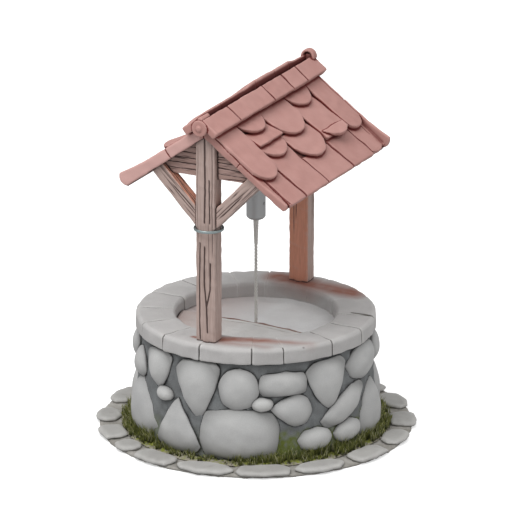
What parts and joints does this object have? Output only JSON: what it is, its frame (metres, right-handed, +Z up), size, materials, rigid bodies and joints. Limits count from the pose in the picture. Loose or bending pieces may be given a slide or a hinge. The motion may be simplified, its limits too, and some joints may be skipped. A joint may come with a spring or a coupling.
{
  "type": "wishing well planter",
  "caption": "Round stone garden well with a tiled gable roof on timber posts, a shallow planting basin inside the coping, and a rope on a swivel head.",
  "frame": {"origin": "centre of the round paving, on the ground", "axes": "+Z up, ridge of the roof along Y, the gable with the rosette faces -Y"},
  "size_m": [1.5964, 1.5956, 1.8127],
  "materials": {
    "mortar": "rough grey mortar",
    "paving_stone": "worn pale stone",
    "turf": "mossy turf",
    "grass": "grass blades",
    "wall_stone": "smooth worn fieldstone",
    "coping_stone": "hewn stone with worn edges",
    "slab_stone": "pale stone slab",
    "timber": "weathered grooved timber",
    "terracotta": "matt rose terracotta",
    "hoop_steel": "galvanised steel",
    "head_steel": "turned grey steel",
    "rope": "pale laid rope"
  },
  "bodies": {
    "well": {"paving_bed": "mortar", "paving_stones": "paving_stone", "turf": "turf", "grass": "grass", "wall_core": "mortar", "wall_stones_front": "wall_stone", "wall_stones_right": "wall_stone", "wall_stones_back": "wall_stone", "wall_stones_left": "wall_stone", "coping_stones": "coping_stone", "floor_slab": "slab_stone", "cover_slab": "slab_stone", "post_front": "timber", "post_back": "timber", "post_rings": "hoop_steel", "brace_front_left": "timber", "brace_front_right": "timber", "brace_back_left": "timber", "brace_back_right": "timber", "ridge_beam": "timber", "purlins": "timber", "roof_boards_left": "timber", "roof_boards_right": "timber", "gable_boards_front": "timber", "gable_boards_back": "timber", "verge_front_left": "terracotta", "verge_front_right": "terracotta", "verge_back_left": "terracotta", "verge_back_right": "terracotta", "eave_tiles_right": "terracotta", "field_tiles_right": "terracotta", "eave_tiles_left": "terracotta", "field_tiles_left": "terracotta", "ridge_tiles_left": "terracotta", "ridge_tiles_right": "terracotta", "ridge_fittings": "terracotta", "hanger_bolt": "hoop_steel"},
    "swivel": {"swivel_head": "head_steel", "swivel_pin": "head_steel", "rope": "rope"}
  },
  "joints": [
    {"name": "head_swivel", "type": "hinge", "parent": "well", "child": "swivel", "pos_m": [0, 0, 1.25], "axis": [0, 0, 1], "continuous": true}
  ]
}
